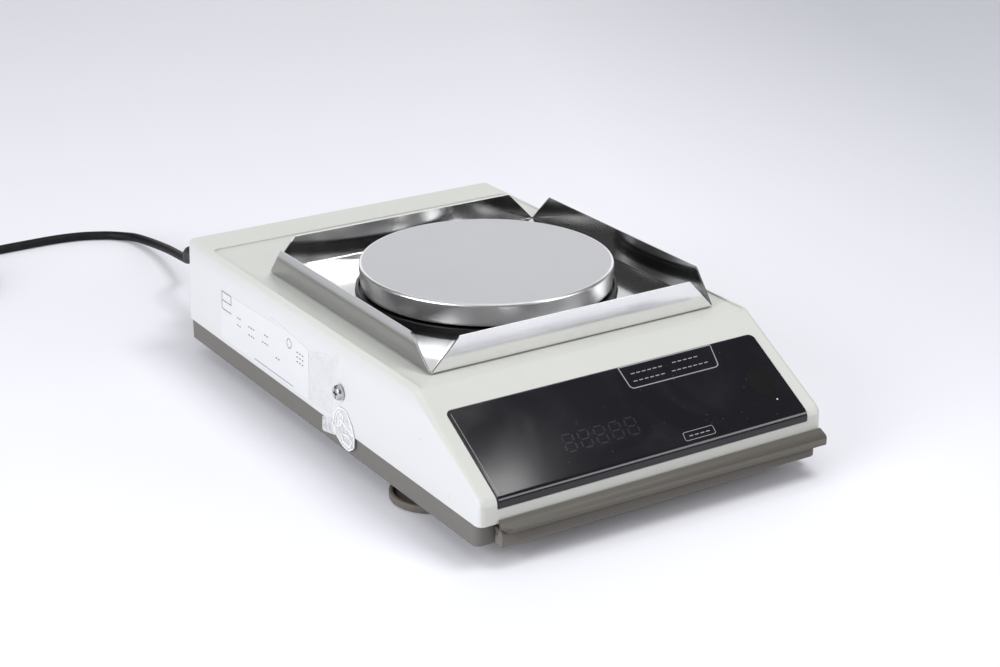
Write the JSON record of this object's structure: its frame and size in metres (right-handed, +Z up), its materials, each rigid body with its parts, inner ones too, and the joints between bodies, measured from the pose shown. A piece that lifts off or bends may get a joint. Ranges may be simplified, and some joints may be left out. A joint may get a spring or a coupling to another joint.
{
  "type": "precision balance",
  "caption": "Bench balance with a round steel pan in a square draft shield, a sloping dark display window, a control bar across the front, levelling wheels and a mains lead.",
  "frame": {"origin": "on the bench under the middle of the balance without its lead", "axes": "+Z up, -Y towards the user, the display and the control bar, +X to the user's right"},
  "size_m": [0.3666, 0.5274, 0.0821],
  "materials": {
    "shell_cream": "fine-textured moulded housing, cream",
    "tray_grey": "satin warm grey",
    "bar_taupe": "satin taupe brown",
    "foot_brown": "satin dark brown",
    "black_plastic": "satin black",
    "window_black": "glossy, near black with a violet sheen",
    "stainless": "brushed stainless steel, polished rim",
    "steel": "plain bright steel",
    "cast_aluminium": "cast and milled aluminium",
    "brass": "plain turned brass",
    "winding_copper": "enamelled copper wire",
    "core_steel": "dark steel",
    "board_green": "green circuit board",
    "tube_glass": "dark glass of a display tube",
    "rubber_black": "matte black rubber",
    "lead_black": "matte black lead sheath"
  },
  "bodies": {
    "housing": {"upper_shell": "shell_cream", "display_window": "window_black", "base_tray": "tray_grey", "pivot_pin_left": "steel", "pivot_pin_right": "steel", "bar_switch": "black_plastic", "thread_insert_left": "brass", "thread_insert_right": "brass", "rear_foot_left": "rubber_black", "rear_foot_right": "rubber_black", "side_screw_left": "steel", "side_screw_right": "steel", "case_screw_left": "steel", "case_screw_right": "steel", "pan_collar": "black_plastic", "cell_frame": "cast_aluminium", "magnet_pot": "core_steel", "position_sensor": "black_plastic", "display_board": "board_green", "display_tube": "tube_glass", "main_board": "board_green", "heat_sink": "cast_aluminium", "filter_capacitor": "cast_aluminium", "transformer_core": "core_steel", "transformer_winding": "winding_copper", "rear_panel": "steel", "mains_inlet": "black_plastic", "lead_connector": "lead_black", "mains_lead": "lead_black", "lead_coil": "lead_black", "lead_plug": "lead_black"},
    "control_bar": {"control_bar": "bar_taupe"},
    "switch_plunger": {"switch_plunger": "steel"},
    "glide_left": {"glide_pad_left": "rubber_black"},
    "glide_right": {"glide_pad_right": "rubber_black"},
    "wheel_left": {"levelling_wheel_left": "foot_brown"},
    "wheel_right": {"levelling_wheel_right": "foot_brown"},
    "hanger": {"pan_hanger": "cast_aluminium", "pan_support": "cast_aluminium"},
    "pan": {"weighing_pan": "stainless"},
    "shield": {"draft_shield": "stainless"},
    "lever": {"lever_beam": "cast_aluminium", "force_coil": "winding_copper"},
    "upper_guide": {"upper_guide": "steel"},
    "lower_guide": {"lower_guide": "steel"},
    "fuse_carrier": {"fuse_carrier": "black_plastic"}
  },
  "joints": [
    {"name": "levelling_height_left", "type": "slide", "parent": "housing", "child": "glide_left", "axis": [0, 0, 1], "range_m": [-0.006, 0.0044]},
    {"name": "levelling_turn_left", "type": "hinge", "parent": "glide_left", "child": "wheel_left", "pos_m": [-0.0781, -0.0729, 0], "axis": [0, 0, 1], "range_deg": [-1730, 1270]},
    {"name": "levelling_height_right", "type": "slide", "parent": "housing", "child": "glide_right", "axis": [0, 0, 1], "range_m": [-0.006, 0.0044]},
    {"name": "levelling_turn_right", "type": "hinge", "parent": "glide_right", "child": "wheel_right", "pos_m": [0.0781, -0.0729, 0], "axis": [0, 0, 1], "range_deg": [-1730, 1270]},
    {"name": "pan_deflection", "type": "slide", "parent": "housing", "child": "hanger", "axis": [0, 0, -1], "range_m": [0, 0.0003], "stiffness_N_per_m": 5000, "springref_m": -0.001},
    {"name": "pan_lift", "type": "slide", "parent": "hanger", "child": "pan", "axis": [0, 0, 1], "range_m": [0, 0.03]},
    {"name": "shield_lift", "type": "slide", "parent": "housing", "child": "shield", "axis": [0, 0, 1], "range_m": [0, 0.04]},
    {"name": "lever_tilt", "type": "hinge", "parent": "housing", "child": "lever", "pos_m": [0, 0.0214, 0.038], "axis": [1, 0, 0], "range_deg": [0, 1.3]},
    {"name": "upper_guide_tilt", "type": "hinge", "parent": "housing", "child": "upper_guide", "pos_m": [0, 0.0823, 0.051], "axis": [1, 0, 0], "range_deg": [0, 0.235]},
    {"name": "lower_guide_tilt", "type": "hinge", "parent": "housing", "child": "lower_guide", "pos_m": [0, 0.0823, 0.0278], "axis": [1, 0, 0], "range_deg": [0, 0.235]},
    {"name": "bar_press", "type": "hinge", "parent": "housing", "child": "control_bar", "pos_m": [0.0015, -0.1459, 0.0148], "axis": [1, 0, 0], "range_deg": [0, 6]},
    {"name": "plunger_travel", "type": "slide", "parent": "housing", "child": "switch_plunger", "axis": [0, 1, 0], "range_m": [0, 0.00024], "stiffness_N_per_m": 4000, "springref_m": -0.0003},
    {"name": "fuse_pull", "type": "slide", "parent": "housing", "child": "fuse_carrier", "axis": [0, 1, 0], "range_m": [0, 0.02]}
  ],
  "couplings": [
    {"joint": "levelling_turn_left", "follows": "levelling_height_left", "rad_per_m": 5026.5},
    {"joint": "levelling_turn_right", "follows": "levelling_height_right", "rad_per_m": 5026.5},
    {"joint": "lever_tilt", "follows": "pan_deflection", "rad_per_m": 73.8},
    {"joint": "upper_guide_tilt", "follows": "pan_deflection", "rad_per_m": 13.45},
    {"joint": "lower_guide_tilt", "follows": "pan_deflection", "rad_per_m": 13.45},
    {"joint": "bar_press", "follows": "plunger_travel", "rad_per_m": 434.8}
  ]
}
